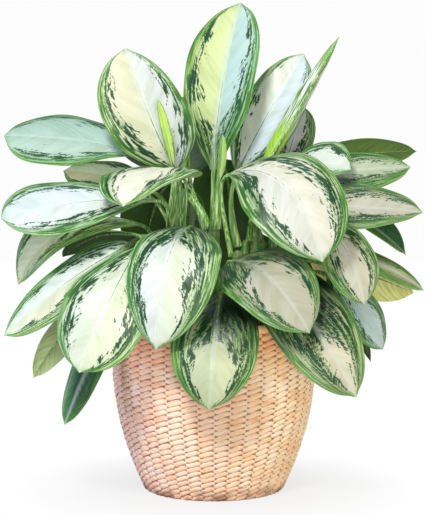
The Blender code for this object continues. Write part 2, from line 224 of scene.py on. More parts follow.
def twined_row(bm, layers, number, radius, height, slope, stakes):
    """One row of the weave: two stems, each outside every second stake, a little uneven along their length.

    slope is how far the row's face leans back from upright, in radians.
    """
    strand, stitch, rising = layers
    out = Vector((math.cos(slope), 0, math.sin(slope)))
    up = Vector((-math.sin(slope), 0, math.cos(slope)))
    rings = stakes * RINGS_A_STAKE
    for stem in range(2):
        grid = bmesh.ops.create_grid(bm, x_segments=STEM_SIDES, y_segments=rings, size=1)["verts"]
        for vert in grid:
            turn = math.pi * (vert.co.x + 1)
            step = (vert.co.y + 1) / 2 * stakes
            along = step * 2 * math.pi / stakes
            phase = math.pi * (step + stem - 0.5)
            # each stem of each row is uneven in its own way
            uneven = noise.noise_vector(Vector((step * 0.83, number * 3.7 + stem * 11.3, stakes)))
            face = math.cos(phase)
            aside = STEM_WIDE * (TUCKED + SWELL * abs(face) + UNEVEN_WIDE * uneven.x) * math.cos(turn)
            proud = STEM_THICK * (PRESSED + UNEVEN_THICK * uneven.y) * math.sin(turn)
            lift = -WEAVE_RISE * math.sin(phase) + UNEVEN_LIFT * uneven.z + aside
            depth = WEAVE_DEPTH * face + proud * (1 + PLUMP * math.sin(turn) ** 2)
            flat = Vector((radius, 0, height)) + out * depth + up * lift
            vert.co = Vector((flat.x * math.sin(along), flat.x * math.cos(along), max(flat.z, 0)))
            vert[strand] = Vector((radius * along + number * 1.37, aside, proud))
            vert[stitch] = Vector((face, math.floor(step + stem) * 0.37 + number * 5.1, math.cos(turn)))
            vert[rising] = Vector((-math.sin(phase), 0, 0))
        bmesh.ops.remove_doubles(bm, verts=grid, dist=WELD)


def piece(name, bm, finishes, slot, *nodes):
    """Makes bm a finished piece: normals outwards, smooth, riding on the plant in place of its CAD nodes."""
    bmesh.ops.recalc_face_normals(bm, faces=bm.faces)
    mesh = bpy.data.meshes.new(name)
    bm.to_mesh(mesh)
    bm.free()
    mesh.shade_smooth()
    mesh.set_sharp_from_angle(angle=math.radians(CREASE))
    for material in finishes:
        mesh.materials.append(material)
    made = bpy.data.objects.new(name, mesh)
    bpy.context.collection.objects.link(made)
    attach(made, "root")
    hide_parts(*nodes)
    return made


def dress(tree, shader, colour, bumps=None):
    """Feeds a shader its colour and, where the surface isn't smooth, its bumps."""
    tree.links.new(colour, shader.inputs["Base Color"])
    if bumps:
        tree.links.new(bumps, shader.inputs["Normal"])


TINTING = {"data_type": "RGBA", "blend_type": "MULTIPLY"}  # one colour tinted with another

# Dried water hyacinth: long dull fibres along each stem, pale where the light has bleached it, and each stem
# a slightly different tan.
straw, tree, shader = finish("dried_water_hyacinth", 0.82)
strand = put(tree, "Attribute", attribute_name="strand")
stitch = put(tree, "Attribute", attribute_name="stitch")
stretched = put(tree, "Mapping", {"Vector": strand["Vector"], "Scale": (70, 900, 900)})
fibre = put(tree, "TexNoise", {"Vector": stretched[0], "Scale": 1.0, "Detail": 3.0, "Roughness": 0.6})
part = put(tree, "SeparateXYZ", {0: stitch["Vector"]})
own = put(tree, "TexWhiteNoise", {"W": part["Y"]}, noise_dimensions="1D")
place = put(tree, "TexCoord")
patch = put(tree, "TexNoise", {"Vector": place["Object"], "Scale": 38.0, "Detail": 2.0})
mixed = put(tree, "Math", {0: own["Value"], 1: 0.35, 2: patch[0]}, operation="MULTIPLY_ADD")
tone = put(tree, "ValToRGB", {0: mixed[0]}, stops=(
    (0.30, "#f4c9a2"), (0.50, "#ffdfc0"), (0.68, "#ffebd2"), (0.90, "#fff3e0")))
grain = put(tree, "ValToRGB", {0: fibre[0]}, stops=((0.30, "#cda482"), (0.50, "#ffffff")))
fibrous = put(tree, "Mix", {0: 0.60, 6: tone[0], 7: grain[0]}, **TINTING)
# painted shade, with some dust, darkens each stitch where it tucks in at a stake
tucked = put(tree, "MapRange", {0: part["X"], 1: 0.02, 2: -0.20, 3: 0.0, 4: 0.75})
tuck_dust_and_shade = put(tree, "Mix", {0: tucked[0], 6: fibrous[2], 7: "#7a4528"}, data_type="RGBA")
# dust and shade gather in the groove under each stitch, most at the end that rises
rising = put(tree, "Attribute", attribute_name="rising")
climb = put(tree, "SeparateXYZ", {0: rising["Vector"]})
groove = put(tree, "MapRange", {0: part["Z"], 1: -0.46, 2: -0.76, 3: 0.0, 4: 1.0})
toward = put(tree, "MapRange", {0: climb["X"], 1: -0.6, 2: 0.5, 3: 0.30, 4: 1.0})
broken = put(tree, "MapRange", {0: patch[0], 1: 0.35, 2: 0.60, 3: 1.0, 4: 0.55})
lined = put(tree, "Math", {0: groove[0], 1: toward[0]}, operation="MULTIPLY")
gathered = put(tree, "Math", {0: lined[0], 1: broken[0]}, operation="MULTIPLY")
grooved = put(tree, "Mix", {0: gathered[0], 6: tuck_dust_and_shade[2], 7: "#5a3320"}, data_type="RGBA")
# the lowest rows turn brown in blotches towards the foot
part = put(tree, "SeparateXYZ", {0: place["Object"]})
low = put(tree, "MapRange", {0: part["Z"], 1: 22 * MM, 2: 3 * MM, 3: 0.0, 4: 1.0})
blotch = put(tree, "MapRange", {0: patch[0], 1: 0.42, 2: 0.58, 3: 0.2, 4: 0.9})
low_blotches = put(tree, "Math", {0: low[0], 1: blotch[0]}, operation="MULTIPLY")
footed = put(tree, "Mix", {0: low_blotches[0], 6: grooved[2], 7: "#8a5236"}, data_type="RGBA")
# painted shade: the top rows are tinted orange-brown, as in the shade under the leaves
top = put(tree, "MapRange", {0: part["Z"], 1: 180 * MM, 2: 225 * MM, 3: 0.0, 4: 0.8})
shaded_top_rows = put(tree, "Mix", {0: top[0], 6: footed[2], 7: "#f3c9a6"}, **TINTING)
# painted light: the left side has a pink cast and the right a cream one, standing in for the colour of the
# light on each side
across = put(tree, "MapRange", {0: part["X"], 1: -0.14, 2: 0.14, 3: 0.0, 4: 1.0})
side_light_tint = put(tree, "Mix", {0: across[0], 6: "#fbe8ec", 7: "#fff8e2"}, data_type="RGBA")
side_lit = put(tree, "Mix", {0: 1.0, 6: shaded_top_rows[2], 7: side_light_tint[2]}, **TINTING)
bumped = put(tree, "Bump", {"Strength": 0.8, "Distance": 0.7 * MM, "Height": fibre[0]})
dress(tree, shader, side_lit[2], bumped[0])

bm, layers = carrying("strand", "stitch", "rising")
height, number = ROW_PITCH / 2, 0
while height < wall_high.z:
    slope = -math.atan2(wall_r(height + MM) - wall_r(height - MM), 2 * MM)
    twined_row(bm, layers, number, wall_r(height) - WALL / 2, height, slope, STAKES)
    height += ROW_PITCH * math.cos(slope)
    number += 1
piece("woven_wall", bm, [straw], "woven_straw", "basket_wall")


# Basket stakes. Forty straight stems stand inside the weave, from the foot to the rim, and show only as dark
# uprights in the gaps between stitches.
STAKE_R = 1.5 * MM
STAKE_FOOT = 2 * MM
STAKE_RINGS = 8
STAKE_SIDES = 6
bm = bmesh.new()
for k in range(STAKES):
    turn = 2 * math.pi * (k + 0.5) / STAKES
    away = Vector((math.sin(turn), math.cos(turn), 0))
    aside = Vector((math.cos(turn), -math.sin(turn), 0))
    heights = [STAKE_FOOT + (wall_high.z - STAKE_FOOT) * i / STAKE_RINGS for i in range(STAKE_RINGS + 1)]
    roll(bm, [(away * (wall_r(z) - WALL / 2) + Vector((0, 0, z)), aside, away, STAKE_R, STAKE_R)
              for z in heights], STAKE_SIDES)

# Uncoloured willow: an even brown rod with a dull skin.
willow, tree, shader = finish("dull_willow_rod", 0.8)
place = put(tree, "TexCoord")
long = put(tree, "Mapping", {"Vector": place["Object"], "Scale": (900, 900, 60)})
skin = put(tree, "TexNoise", {"Vector": long[0], "Scale": 1.0, "Detail": 2.0})
bark = put(tree, "ValToRGB", {0: skin[0]}, stops=((0.3, "#6b4024"), (0.7, "#a06c42")))
dress(tree, shader, bark[0])
piece("stakes", bm, [willow], "woven_straw")


# Basket base and rim. The base is the same twining laid flat, ring round ring. The rim is a thick hoop
# wrapped all the way round with a flat stem, each turn laid close against the last and leaning a little.
BASE_EYE = 5 * MM  # the radius of the base's first ring
BASE_GAP = 5 * MM  # how far apart its stakes stand
BASE_RAISED = 0.3 * MM
BASE_ROW = 40  # its first row's number, past the wall's last
WRAPS = 76
WRAP_SIDES = 14
WRAP_BANDS = 4
WRAP_LEAN = 0.5  # a turn's lean over half its length, in widths
WRAP_LAP = 0.62  # over half its width, to lap the next one
WRAP_CROWN = 0.9 * MM
WRAP_STEP = 0.2 * MM  # from one turn down to the next
bm, layers = carrying("strand", "stitch", "rising")
radius, number = BASE_EYE, BASE_ROW
while radius < base_high.x - STEM_WIDE:
    stakes = 2 * max(3, round(radius / BASE_GAP))
    twined_row(bm, layers, number, radius, (base_low.z + base_high.z) / 2 + BASE_RAISED, -math.pi / 2, stakes)
    radius += ROW_PITCH
    number += 1
piece("woven_base", bm, [straw], "woven_straw", "basket_base")

bm, (strand, stitch) = carrying("strand", "stitch")
hoop_r = wall_r(RIM_Z) - WALL / 2
hoop_z = (rim_low.z + rim_high.z) / 2
tube_r = (rim_high.z - rim_low.z) / 2
wrap_wide = math.pi * 2 * hoop_r / WRAPS
for k in range(WRAPS):
    turn = 2 * math.pi * k / WRAPS
    grid = bmesh.ops.create_grid(bm, x_segments=WRAP_SIDES, y_segments=WRAP_BANDS, size=1)["verts"]
    for vert in grid:
        x, y = vert.co.x, vert.co.y
        around = math.pi * x
        lean = wrap_wide * WRAP_LEAN * x
        crown = tube_r - WRAP_CROWN * y * y - WRAP_STEP * (k % 3)
        along = turn + (y * wrap_wide * WRAP_LAP + lean) / hoop_r
        flat_r = hoop_r + crown * math.cos(around)
        vert.co = (flat_r * math.sin(along), flat_r * math.cos(along), hoop_z + crown * math.sin(around))
        vert[strand] = Vector((x * math.pi * tube_r + k * 0.7, y * wrap_wide * 0.5, 0))
        vert[stitch] = Vector((1.0 - 0.75 * y * y, k * 0.61, 0))
    bmesh.ops.remove_doubles(bm, verts=grid, dist=WELD)
piece("wrapped_rim", bm, [straw], "woven_straw", "basket_rim")


# Saucer and grow pot. Thin black polypropylene, moulded, with a rolled lip on the pot. The potting mix fills
# the pot to 20 mm below its lip.
saucer_low, saucer_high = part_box("saucer")
pot_low, pot_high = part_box("grow_pot")
PLASTIC = 2 * MM
POT_FOOT_R = 80 * MM


def turned(bm, profile, steps=96):
    """Spins an open profile of (radius, height), which starts and ends on the axis, all the way round."""
    verts = [bm.verts.new((r, 0, z)) for r, z in profile]
    edges = [bm.edges.new(pair) for pair in zip(verts, verts[1:])]
    bmesh.ops.spin(bm, geom=verts + edges, cent=(0, 0, 0), axis=(0, 0, 1), angle=2 * math.pi, steps=steps,
                   use_merge=True, dvec=(0, 0, 0))
    bmesh.ops.remove_doubles(bm, verts=bm.verts, dist=WELD)


# Moulded black polypropylene: near-black, with the fine sparkle of a textured mould.
plastic, tree, shader = finish("moulded_black_polypropylene", 0.45)
place = put(tree, "TexCoord")
spark = put(tree, "TexNoise", {"Vector": place["Object"], "Scale": 1500.0, "Detail": 2.0})
dust = put(tree, "TexNoise", {"Vector": place["Object"], "Scale": 45.0, "Detail": 3.0})
black = put(tree, "ValToRGB", {0: dust[0]}, stops=((0.4, "#1b1b1b"), (0.8, "#3a3631")))
grained = put(tree, "Bump", {"Strength": 0.3, "Distance": 0.2 * MM, "Height": spark[0]})
dress(tree, shader, black[0], grained[0])

bm = bmesh.new()
low, high, far = saucer_low.z, saucer_high.z, saucer_high.x
turned(bm, [(0, low), (far - 7 * MM, low), (far - 1.5 * MM, high - 3 * MM), (far, high - 1.5 * MM),
            (far, high), (far - PLASTIC, high), (far - 8 * MM, low + PLASTIC), (0, low + PLASTIC)])
piece("drip_saucer", bm, [plastic], "black_plastic", "saucer")

bm = bmesh.new()
low, high, far = pot_low.z, pot_high.z, pot_high.x
turned(bm, [(0, low), (POT_FOOT_R, low), (far - 7 * MM, high - 13 * MM), (far - 1.5 * MM, high - 12 * MM),
            (far, high - 10.5 * MM), (far, high - MM), (far - MM, high), (far - 6.5 * MM, high),
            (far - 8 * MM, high - 2 * MM), (POT_FOOT_R - PLASTIC, low + PLASTIC), (0, low + PLASTIC)])
piece("nursery_pot", bm, [plastic], "black_plastic", "grow_pot")


# Potting mix. Dark peat and composted bark, filled in round the roots and lightly firmed by hand round the
# canes, which leaves an uneven, crumbly top.
mix_low, mix_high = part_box("potting_mix")
mix_r = mix_high.x
mix_top = mix_high.z - 2 * MM
MIX_TAPER = 0.66  # its foot against its top
MIX_RINGS = 26
MIX_STEPS = 80
CRUMB_HIGH = 1.6 * MM
CRUMBS = 90  # to a metre
bm = bmesh.new()
turned(bm, [(0, mix_low.z), (mix_r * MIX_TAPER, mix_low.z), (mix_r, mix_top)]
       + [(mix_r * (1 - i / MIX_RINGS), mix_top) for i in range(1, MIX_RINGS + 1)], MIX_STEPS)
for vert in bm.verts:
    if vert.co.z > mix_top - 3 * MM and vert.co.xy.length < mix_r - MM:
        vert.co.z += CRUMB_HIGH * noise.fractal(vert.co * CRUMBS, 1.0, 2.0, 4)

# Peat and bark: near-black brown crumbs of many sizes, quite matt.
peat, tree, shader = finish("peat_and_bark_mix", 0.95)
place = put(tree, "TexCoord")
crumb = put(tree, "TexVoronoi", {"Vector": place["Object"], "Scale": 260.0})
clump = put(tree, "TexNoise", {"Vector": place["Object"], "Scale": 120.0, "Detail": 5.0})
soil = put(tree, "ValToRGB", {0: clump[0]}, stops=((0.35, "#231710"), (0.55, "#3d2a1c"), (0.75, "#5c4430")))
crumbly = put(tree, "Bump", {"Strength": 0.9, "Distance": 1.5 * MM, "Height": crumb["Distance"]})
dress(tree, shader, soil[0], crumbly[0])
piece("peat", bm, [peat], "potting_mix", "potting_mix")


# Canes. Seven green stems as thick as a thumb, ringed with the scars of old leaves, that root in the mix and
# lean out a little as they rise.
soil_z = mix_high.z
CANE_DEPTH = 50 * MM
SCAR_PITCH = 16 * MM
SCAR_DIP = 0.10  # how much thinner a cane is between two scars
CUT_END = 0.6  # how far its cut top is rounded in
CANE_RINGS = 46
CANE_SIDES = 14
Cane = namedtuple("Cane", "foot top height radius")
CANES = {
    "cane_a": Cane((-0.050, 0.000), (-0.062, 0.000), 0.37, 0.0080),
    "cane_b": Cane((-0.025, -0.045), (-0.035, -0.058), 0.36, 0.0075),
    "cane_c": Cane((0.030, -0.045), (0.035, -0.060), 0.36, 0.0080),
    "cane_d": Cane((0.058, -0.005), (0.075, -0.008), 0.37, 0.0080),
    "cane_e": Cane((0.000, 0.005), (0.000, 0.008), 0.40, 0.0090),
    "cane_f": Cane((0.040, 0.050), (0.050, 0.068), 0.37, 0.0075),
    "cane_g": Cane((-0.035, 0.050), (-0.045, 0.070), 0.37, 0.0075),
}


def cane_axis(cane, z):
    """The cane's centre line at height z: it leans out a little as it rises."""
    t = (z - soil_z) / (cane.height - soil_z)
    point = Vector((*cane.foot, 0)).lerp(Vector((*cane.top, 0)), t * abs(t))
    point.z = z
    return point


# Living cane: waxy green skin, paler between the scars, with a thin tan line at each one.
skin, tree, shader = finish("ringed_green_cane", 0.42)
place = put(tree, "TexCoord")
part = put(tree, "SeparateXYZ", {0: place["Object"]})
steps = put(tree, "Math", {0: part["Z"], 1: SCAR_PITCH}, operation="DIVIDE")
ring = put(tree, "Math", {0: steps[0]}, operation="FRACT")
green = put(tree, "ValToRGB", {0: ring[0]}, stops=(
    (0.0, "#a08a5c"), (0.08, "#5f8238"), (0.5, "#4f8030"), (0.95, "#6f9a48")))
long = put(tree, "Mapping", {"Vector": place["Object"], "Scale": (700, 700, 60)})
streak = put(tree, "TexNoise", {"Vector": long[0], "Scale": 1.0, "Detail": 2.0})
dulled = put(tree, "ValToRGB", {0: streak[0]}, stops=((0.3, "#c4cfae"), (0.6, "#ffffff")))
cane_green = put(tree, "Mix", {0: 0.8, 6: green[0], 7: dulled[0]}, **TINTING)
dress(tree, shader, cane_green[2])

for name, cane in CANES.items():
    bm = bmesh.new()
    rings = []
    bottom = soil_z - CANE_DEPTH
    for i in range(CANE_RINGS + 1):
        z = bottom + (cane.height - bottom) * i / CANE_RINGS
        scar = (z / SCAR_PITCH) % 1
        swell = 1 - SCAR_DIP * math.sin(math.pi * scar) ** 0.5
        radius = cane.radius * swell * (1 if i < CANE_RINGS else CUT_END)
        rings.append((cane_axis(cane, z), Vector((1, 0, 0)), Vector((0, 1, 0)), radius, radius))
    roll(bm, rings, CANE_SIDES)
    piece("stem_" + name[-1], bm, [skin], "cane", name)


# Bark chips and perlite. The chips are flakes of composted bark, and the perlite is a volcanic glass that is
# puffed by heat into white beads. Both lie loose on the mix, clear of the canes.
CHIPS = 260
GOLDEN_TURN = 2.399963  # radians, to spread them evenly
CANE_CLEAR = 14 * MM
POT_CLEAR = 6 * MM
CHIP_LONG = 4.2 * MM  # these four are half sizes
CHIP_HIGH = 1.1 * MM
BEAD_LONG = 1.3 * MM
BEAD_HIGH = 1.2 * MM
CHIP_NARROW = 0.6  # a chip's width against its length
SUNK = 1.5 * MM
chips, beads = bmesh.new(), bmesh.new()
for k in range(CHIPS):
    uneven = noise.noise_vector(Vector((k * 1.7, 3.1, 0.4)))
    away = (mix_r - POT_CLEAR) * math.sqrt((k + 0.5) / CHIPS)
    turn = k * GOLDEN_TURN + uneven.z
    x, y = away * math.cos(turn), away * math.sin(turn)
    if min((Vector((x, y)) - Vector(cane.foot)).length for cane in CANES.values()) < CANE_CLEAR:
        continue
    bead = k % 3 == 0
    long = (BEAD_LONG if bead else CHIP_LONG) * (1 + 0.5 * uneven.x)
    high = BEAD_HIGH if bead else CHIP_HIGH
    made = bmesh.ops.create_icosphere(beads if bead else chips, subdivisions=1, radius=1)["verts"]
    for vert in made:
        rough = 1 + 0.35 * noise.noise(vert.co * 1.5 + Vector((k, 0, 0)))
        flat = Vector((vert.co.x * long, vert.co.y * (long if bead else long * CHIP_NARROW), 0)) * rough
        flat.rotate(Matrix.Rotation(turn * 3, 3, "Z"))
        vert.co = Vector((x, y, mix_high.z - SUNK)) + flat + Vector((0, 0, vert.co.z * high))

# Composted bark: brown and matt.
chip_bark, tree, shader = finish("composted_bark", 0.9, "#5d3d27")
piece("bark_chips", chips, [chip_bark], "potting_mix")

# Perlite: chalk white and matt.
chalk, tree, shader = finish("chalky_perlite", 0.9, "#dcd8cc")
piece("perlite", beads, [chalk], "potting_mix")


# Leaves. Each is one blade on a long petiole that clasps its cane. The blade is thin and glossy, silver-cream
# along the middle, with a ragged band of dark green inside a green margin; the underside is plain green.
OUTLINE = (
    (0.00, 0.08), (0.04, 0.36), (0.12, 0.66), (0.24, 0.91), (0.40, 1.00), (0.56, 0.98),
    (0.72, 0.85), (0.85, 0.62), (0.93, 0.37), (0.975, 0.12), (1.00, 0.00),
)
WIDEST = 0.45
ACROSS = 28
ALONG = 44
STALK_RINGS = 14
RIB_RINGS = 14
BLADE_T = 0.7 * MM
PETIOLE_R = 3.4 * MM
SHEATH_R = 5.0 * MM
GAP = 0.4 * MM
RIB_NEAR = 0.30  # where along the chord the midrib's two control points stand
RIB_FAR = 0.68
SPLAY = 0.25  # how far a petiole leans out as it leaves its cane, against its rise
RISE = 0.45  # how far along its chord it keeps that direction
SWEEP = 0.30  # how far before the blade it turns into the midrib's direction
EDGE_CROWD = 0.85  # draws the blade's columns towards the margins
LEAST_HALF = 0.3 * MM
WAVES = 1.9  # how many waves a margin has
WAVE_SHIFT = 0.37  # of a wave, from one leaf to the next
WAVE_LAG = 0.3  # of a wave, from the left margin to the right
WAVE_HIGH = 0.035  # as a share of the half width
ROLL_UNDER = 0.02  # as the same share
GROOVE_DEEP = 0.9 * MM
GROOVE_WIDE = 3.5 * MM
VEIN_SWEEP = 0.75  # how far the side veins sweep towards the tip
VEIN_PITCH = 12 * MM
TINT_BLEND = 18 * MM  # how wide one half's silver blends into the other's
STALK_FLAT = 0.8  # a stalk's depth against its width
SHEATH_FADE = 1.6  # it has narrowed to the petiole at 1 / 1.6 of its length
WING = 0.55  # how much the sheath's wings widen it at the cane
WING_FADE = 1.5
RIB_START = 0.85  # the midrib's radius where it starts, in petiole radii
RIB_TAPER = 1.1
RIB_END_R = 0.25 * MM
RIB_SUNK = 0.75  # how far it hangs under the blade, in radii
RIB_LIP = 0.3 * MM
Leaf = namedtuple("Leaf", "cane node join tip width arch face fold curl sway full skew lean")


def leaf(cane, node, join, tip, width, arch, face, fold=12, curl=30, sway=0.0, full=0.5, skew=0.0,
         lean=0.0):
    """One row of the leaf table, with its lengths in millimetres.

    node is the height where the petiole leaves the cane, and join and tip are the blade's two ends. arch and
    sway bow the midrib up and sideways, as shares of the blade's chord. face is the way the upper side looks.
    fold lifts the two halves from the midrib and curl bends their margins down again, in degrees. The blade
    is widest at full, a share of its length. skew moves that towards the tip on the left half and back on the
    right, and lean makes the left half wider than the right, both as shares.
    """
    return Leaf("cane_" + cane, node * MM, Vector(join) * MM, Vector(tip) * MM, width * MM, arch,
                Vector(face), fold, curl, sway, full, skew, lean)


LEAVES = {
    # left side
    "leaf_a1_low": leaf("a", 275, (-110, -25, 397), (-287, -50, 309), 100, 0.28, (-0.3, -0.65, 0.7),
        full=0.62, skew=-0.12, lean=-0.35),
    "leaf_a2_left": leaf("a", 300, (-85, -55, 433), (-298, -145, 409), 105, 0.06, (0, -0.7, 0.7), 8, 20,
        full=0.68),
    "leaf_a3_upper": leaf("a", 350, (-80, 24, 491), (-310, -28, 528), 134, 0.055, (0.1, -0.6, 0.8), 8, 24,
        full=0.63, skew=0.12, lean=-0.06),
    "leaf_a4_behind": leaf("a", 325, (-95, 70, 445), (-235, 90, 477), 92, 0.06, (0.1, -0.6, 0.8)),
    "leaf_a5_top": leaf("a", 360, (-58, 6, 478), (-130, -35, 656), 128, 0.06, (0.1, -0.9, 0.3), sway=-0.04,
        full=0.47, skew=0.1, lean=0.05),
    "leaf_a6_pale": leaf("a", 245, (-150, 30, 300), (-275, 20, 162), 64, 0.1, (-0.5, 0.7, 0.3)),
    "leaf_a8_spear": leaf("a", 365, (-60, -34, 480), (-82, -56, 580), 18, 0.03, (0.2, -0.9, 0.2), 50),
    # front left
    "leaf_b1_low": leaf("b", 270, (-120, -75, 370), (-294, -150, 245), 76, 0.07, (-0.2, -0.8, 0.6),
        full=0.48, skew=0.12, lean=0.05),
    "leaf_b2_front": leaf("b", 300, (-105, -110, 370), (-184, -200, 200), 128, 0.1, (-0.1, -0.8, 0.5),
        sway=-0.01, full=0.6),
    "leaf_b3_front": leaf("b", 320, (-34, -88, 396), (-79, -205, 232), 128, 0.3, (-0.1, -0.75, 0.65),
        full=0.52, lean=0.14),
    "leaf_b4_curl": leaf("b", 350, (-45, -50, 466), (-124, -190, 426), 130, 0.18, (-0.2, -0.42, 0.88),
        full=0.48, skew=-0.08, lean=-0.12),
    "leaf_b5_hang": leaf("b", 250, (-137, -62, 292), (-217, -85, 108), 52, 0.03, (-0.3, -0.8, 0.3)),
    # front right
    "leaf_c1_low": leaf("c", 260, (10, -112, 302), (-7, -195, 148), 122, 0.26, (0, -0.85, 0.5), full=0.54),
    "leaf_c2_right": leaf("c", 290, (22, -90, 346), (130, -200, 254), 126, 0.22, (-0.1, -0.6, 0.8)),
    "leaf_c3_low": leaf("c", 270, (78, -103, 334), (197, -173, 162), 118, 0.12, (0, -0.8, 0.5), full=0.45),
    "leaf_c4_upper": leaf("c", 350, (20, -42, 470), (149, -175, 350), 140, 0.24, (-0.1, -0.6, 0.8),
        sway=-0.08, full=0.6),
    # right side
    "leaf_d1_right": leaf("d", 290, (155, -80, 405), (213, -120, 286), 96, 0.14, (0.3, -0.7, 0.6)),
    "leaf_d2_right": leaf("d", 330, (115, -22, 415), (306, -50, 415), 98, 0.05, (0, -0.7, 0.7), full=0.38,
        skew=0.08, lean=0.1),
    "leaf_d3_low": leaf("d", 270, (150, 0, 362), (317, 10, 296), 44, 0.1, (0.2, -0.7, 0.65)),
    "leaf_d4_hang": leaf("d", 240, (170, -10, 320), (252, -20, 210), 80, 0.1, (0.4, -0.7, 0.5)),
    "leaf_d5_behind": leaf("d", 305, (165, 70, 430), (298, 75, 347), 72, 0.08, (0.3, -0.6, 0.7), lean=0.6),
    "leaf_d6_small": leaf("d", 360, (110, 15, 485), (202, -30, 478), 74, 0.1, (0, -0.8, 0.6), skew=0.1,
        lean=0.3),
    "leaf_f9_yellow": leaf("f", 265, (150, 68, 338), (311, 75, 287), 88, 0.06, (0.2, 0.7, 0.5), lean=0.1),
    "leaf_f10_tip": leaf("f", 240, (152, 108, 306), (246, 88, 178), 66, 0.12, (0.6, 0.3, 0.7)),
    # crown
    "leaf_e1_crown": leaf("e", 380, (-1, 30, 478), (41, 60, 734), 130, 0.05, (-0.5, -0.8, 0.2), 20,
        full=0.57, lean=0.08),
    "leaf_e5_spear": leaf("e", 390, (7, -15, 462), (13, -15, 530), 16, 0.03, (0.4, -0.9, 0.1), 50),
    "leaf_f1_top": leaf("f", 360, (36, 62, 474), (139, 80, 658), 98, 0.05, (-0.2, -0.9, 0.3), lean=-0.04),
    "leaf_f2_spear": leaf("f", 370, (78, 10, 484), (188, 20, 678), 30, 0.04, (-0.5, 0.8, 0.1), 40,
        sway=-0.03, full=0.33),
    "leaf_f3_back": leaf("f", 350, (108, 108, 471), (142, 140, 581), 66, 0.05, (0, -0.9, 0.3), full=0.54),
    "leaf_f4_right": leaf("f", 325, (105, 66, 480), (313, 70, 507), 75, 0.05, (0.1, 0.6, 0.7)),
    "leaf_f5_right": leaf("f", 300, (110, 35, 455), (298, 25, 482), 85, 0.05, (0, -0.7, 0.7)),
    # back
    "leaf_a7_back": leaf("a", 285, (-125, 60, 380), (-238, 100, 342), 80, 0.12, (-0.4, 0.3, 0.8)),
    "leaf_e2_back": leaf("e", 345, (-38, 85, 470), (-48, 190, 600), 110, 0.08, (0, 0.8, 0.5)),
    "leaf_e3_back": leaf("e", 325, (12, 122, 496), (34, 228, 338), 118, 0.24, (0, 0.5, 0.85)),
    "leaf_e4_low": leaf("e", 300, (-6, 152, 390), (0, 250, 258), 120, 0.12, (0, 0.8, 0.6)),
    "leaf_e6_rise": leaf("e", 388, (-84, 82, 480), (-150, 125, 612), 88, 0.08, (-0.2, 0.8, 0.4)),
    "leaf_f6_back": leaf("f", 305, (94, 152, 430), (156, 238, 314), 110, 0.18, (0.2, 0.5, 0.85)),
    "leaf_f7_low": leaf("f", 285, (122, 112, 370), (215, 190, 260), 110, 0.14, (0.5, 0.6, 0.6)),
    "leaf_f8_hang": leaf("f", 250, (76, 152, 376), (86, 222, 190), 102, 0.18, (0.3, 0.9, 0.3)),
    "leaf_g1_left": leaf("g", 340, (-110, 95, 445), (-245, 175, 420), 100, 0.14, (-0.2, 0.3, 0.9)),
    "leaf_g2_back": leaf("g", 330, (-64, 130, 464), (-117, 240, 324), 114, 0.2, (-0.1, 0.5, 0.85)),
    "leaf_g3_low": leaf("g", 290, (-115, 115, 375), (-200, 205, 262), 112, 0.15, (-0.4, 0.7, 0.6)),
    "leaf_g4_hang": leaf("g", 260, (-66, 158, 330), (-95, 215, 180), 108, 0.16, (-0.3, 0.9, 0.3)),
    "leaf_g5_spear": leaf("g", 360, (-52, 60, 465), (-78, 75, 610), 45, 0.04, (0.5, -0.5, 0.3), 55),
    "leaf_g6_inner": leaf("g", 300, (-35, 148, 364), (-35, 176, 446), 44, 0.06, (0, -0.95, 0.3)),
}


def bezier(a, b, c, d, t):
    """The point at t on the curve from a to d that b and c draw towards themselves."""
    s = 1 - t
    return a * s**3 + b * (3 * s * s * t) + c * (3 * s * t * t) + d * t**3


def midrib(row):
    """Control points of the blade's centre line, from join to tip, and its upper side's direction."""
    chord = row.tip - row.join
    along = chord.normalized()
    up = (row.face - along * row.face.dot(along)).normalized()
    side = along.cross(up)
    bow = (up * row.arch + side * row.sway) * (chord.length * 4 / 3)
    return (row.join, row.join + chord * RIB_NEAR + bow, row.join + chord * RIB_FAR + bow, row.tip), up


def petiole(row):
    """Control points of the petiole, from the cane's surface to the blade."""
    cane = CANES[row.cane]
    start = cane_axis(cane, row.node)
    out = Vector((row.join.x - start.x, row.join.y - start.y, 0)).normalized()
    start += out * (cane.radius + SHEATH_R + GAP)
    ribs, _ = midrib(row)
    leave = (ribs[1] - ribs[0]).normalized()
    reach = (row.join - start).length
    rise = (Vector((0, 0, 1)) + out * SPLAY).normalized()
    return start, start + rise * (reach * RISE), row.join - leave * (reach * SWEEP), row.join


def frames(points, up, start):
    """(upper side, sideways) at each point, turned as little as can be from the ring at start."""
    tangents = []
    for i in range(len(points)):
        before = points[max(i - 1, 0)]
        after = points[min(i + 1, len(points) - 1)]
        tangents.append((after - before).normalized())
    normals = [None] * len(points)
    first = tangents[start]
    normals[start] = (up - first * up.dot(first)).normalized()
    for step in (1, -1):
        i = start
        while 0 <= i + step < len(points):
            turn = tangents[i].rotation_difference(tangents[i + step])
            normals[i + step] = turn @ normals[i]
            i += step
    return [(n, t.cross(n)) for t, n in zip(tangents, normals)]


def spread(share, full):
    """The half width at a share of the blade's length, as a share of the widest, which is at full."""
    share = share ** (math.log(WIDEST) / math.log(full))
    i = max(k for k in range(len(OUTLINE) - 1) if OUTLINE[k][0] <= share)

    def slope(k):
        a, b = OUTLINE[max(k - 1, 0)], OUTLINE[min(k + 1, len(OUTLINE) - 1)]
        return (b[1] - a[1]) / (b[0] - a[0])

    (near, here), (far, there) = OUTLINE[i], OUTLINE[i + 1]
    step = far - near
    t = (share - near) / step
    return ((2 * t**3 - 3 * t * t + 1) * here + (t**3 - 2 * t * t + t) * step * slope(i)
            + (3 * t * t - 2 * t**3) * there + (t**3 - t * t) * step * slope(i + 1))


def section(u, row):
    """(sideways, up) of a point at a share of the half width: the half lifts by fold, then curls down."""
    fold, curl = math.radians(row.fold), math.radians(row.curl)
    end = fold - curl * u
    return (math.sin(fold) - math.sin(end)) / curl, (math.cos(end) - math.cos(fold)) / curl


